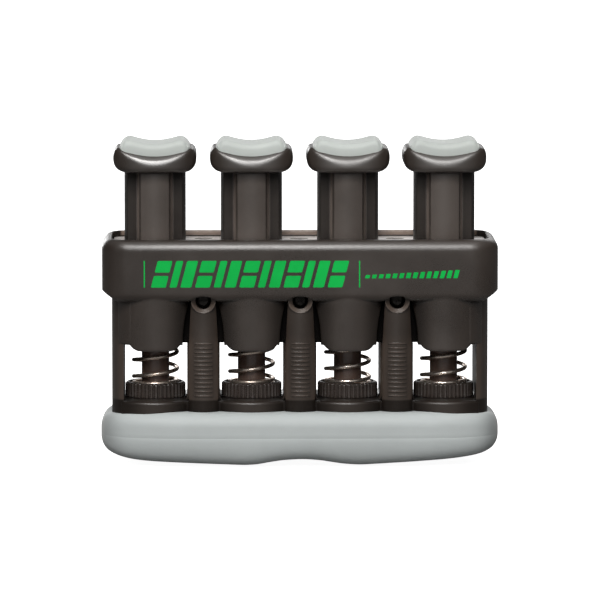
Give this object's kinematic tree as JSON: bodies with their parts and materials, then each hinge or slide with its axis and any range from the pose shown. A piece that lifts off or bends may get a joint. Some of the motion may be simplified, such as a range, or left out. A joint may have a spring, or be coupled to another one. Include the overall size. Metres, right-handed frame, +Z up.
{
  "type": "hand and finger exerciser",
  "caption": "Palm-held finger exerciser: spring-loaded plungers with saddle caps slide in a housing on a ribbed frame, each with a knurled wheel that sets its spring, above a soft palm pad.",
  "frame": {"origin": "bottom centre of the palm pad, on the surface that the exerciser stands on", "axes": "+X along the row of plungers towards the fourth one, +Y from the printed front to the back, +Z up towards the finger pads"},
  "size_m": [0.084, 0.03, 0.0687],
  "materials": {
    "palm_rubber": "soft matte light grey rubber",
    "finger_rubber": "soft matte light grey rubber",
    "dark_plastic": "warm charcoal moulded plastic, fine grain",
    "stem_plastic": "warm charcoal moulded plastic, satin",
    "plate_plastic": "mid grey moulded plastic",
    "wheel_plastic": "black glossy moulded plastic, knurled rim",
    "post_plastic": "black smooth plastic",
    "spring_steel": "bright drawn spring steel",
    "seat_steel": "thin steel washer",
    "screw_steel": "black oxide steel"
  },
  "bodies": {
    "root": {"palm_pad": "palm_rubber", "frame": "dark_plastic", "housing": "dark_plastic", "guide_plate": "plate_plastic", "guide_plate_screws": "screw_steel", "column_screws": "screw_steel", "guide_post_1": "post_plastic", "guide_post_2": "post_plastic", "guide_post_3": "post_plastic", "guide_post_4": "post_plastic"},
    "plunger_1": {"plunger_1": "stem_plastic", "cap_1": "stem_plastic", "cap_screw_1": "screw_steel", "finger_pad_1": "finger_rubber"},
    "seat_1": {"spring_seat_1": "seat_steel", "spring_1": "spring_steel"},
    "wheel_1": {"adjuster_wheel_1": "wheel_plastic"},
    "plunger_2": {"plunger_2": "stem_plastic", "cap_2": "stem_plastic", "cap_screw_2": "screw_steel", "finger_pad_2": "finger_rubber"},
    "seat_2": {"spring_seat_2": "seat_steel", "spring_2": "spring_steel"},
    "wheel_2": {"adjuster_wheel_2": "wheel_plastic"},
    "plunger_3": {"plunger_3": "stem_plastic", "cap_3": "stem_plastic", "cap_screw_3": "screw_steel", "finger_pad_3": "finger_rubber"},
    "seat_3": {"spring_seat_3": "seat_steel", "spring_3": "spring_steel"},
    "wheel_3": {"adjuster_wheel_3": "wheel_plastic"},
    "plunger_4": {"plunger_4": "stem_plastic", "cap_4": "stem_plastic", "cap_screw_4": "screw_steel", "finger_pad_4": "finger_rubber"},
    "seat_4": {"spring_seat_4": "seat_steel", "spring_4": "spring_steel"},
    "wheel_4": {"adjuster_wheel_4": "wheel_plastic"}
  },
  "joints": [
    {"name": "press_1", "type": "slide", "parent": "root", "child": "plunger_1", "axis": [0, 0, -1], "range_m": [0, 0.013], "stiffness_N_per_m": 1300, "springref_m": -0.004, "deforming": ["spring_1"]},
    {"name": "rise_1", "type": "slide", "parent": "root", "child": "seat_1", "axis": [0, 0, 1], "range_m": [0, 0.0045]},
    {"name": "turn_1", "type": "hinge", "parent": "seat_1", "child": "wheel_1", "pos_m": [-0.0305, 0, 0.0155], "axis": [0, 0, 1], "range_deg": [0, 1080]},
    {"name": "press_2", "type": "slide", "parent": "root", "child": "plunger_2", "axis": [0, 0, -1], "range_m": [0, 0.013], "stiffness_N_per_m": 1300, "springref_m": -0.004, "deforming": ["spring_2"]},
    {"name": "rise_2", "type": "slide", "parent": "root", "child": "seat_2", "axis": [0, 0, 1], "range_m": [0, 0.0045]},
    {"name": "turn_2", "type": "hinge", "parent": "seat_2", "child": "wheel_2", "pos_m": [-0.01017, 0, 0.0155], "axis": [0, 0, 1], "range_deg": [0, 1080]},
    {"name": "press_3", "type": "slide", "parent": "root", "child": "plunger_3", "axis": [0, 0, -1], "range_m": [0, 0.013], "stiffness_N_per_m": 1300, "springref_m": -0.004, "deforming": ["spring_3"]},
    {"name": "rise_3", "type": "slide", "parent": "root", "child": "seat_3", "axis": [0, 0, 1], "range_m": [0, 0.0045]},
    {"name": "turn_3", "type": "hinge", "parent": "seat_3", "child": "wheel_3", "pos_m": [0.01017, 0, 0.0155], "axis": [0, 0, 1], "range_deg": [0, 1080]},
    {"name": "press_4", "type": "slide", "parent": "root", "child": "plunger_4", "axis": [0, 0, -1], "range_m": [0, 0.013], "stiffness_N_per_m": 1300, "springref_m": -0.004, "deforming": ["spring_4"]},
    {"name": "rise_4", "type": "slide", "parent": "root", "child": "seat_4", "axis": [0, 0, 1], "range_m": [0, 0.0045]},
    {"name": "turn_4", "type": "hinge", "parent": "seat_4", "child": "wheel_4", "pos_m": [0.0305, 0, 0.0155], "axis": [0, 0, 1], "range_deg": [0, 1080]}
  ],
  "couplings": [
    {"joint": "turn_1", "follows": "rise_1", "rad_per_m": 4188.8},
    {"joint": "turn_2", "follows": "rise_2", "rad_per_m": 4188.8},
    {"joint": "turn_3", "follows": "rise_3", "rad_per_m": 4188.8},
    {"joint": "turn_4", "follows": "rise_4", "rad_per_m": 4188.8}
  ]
}
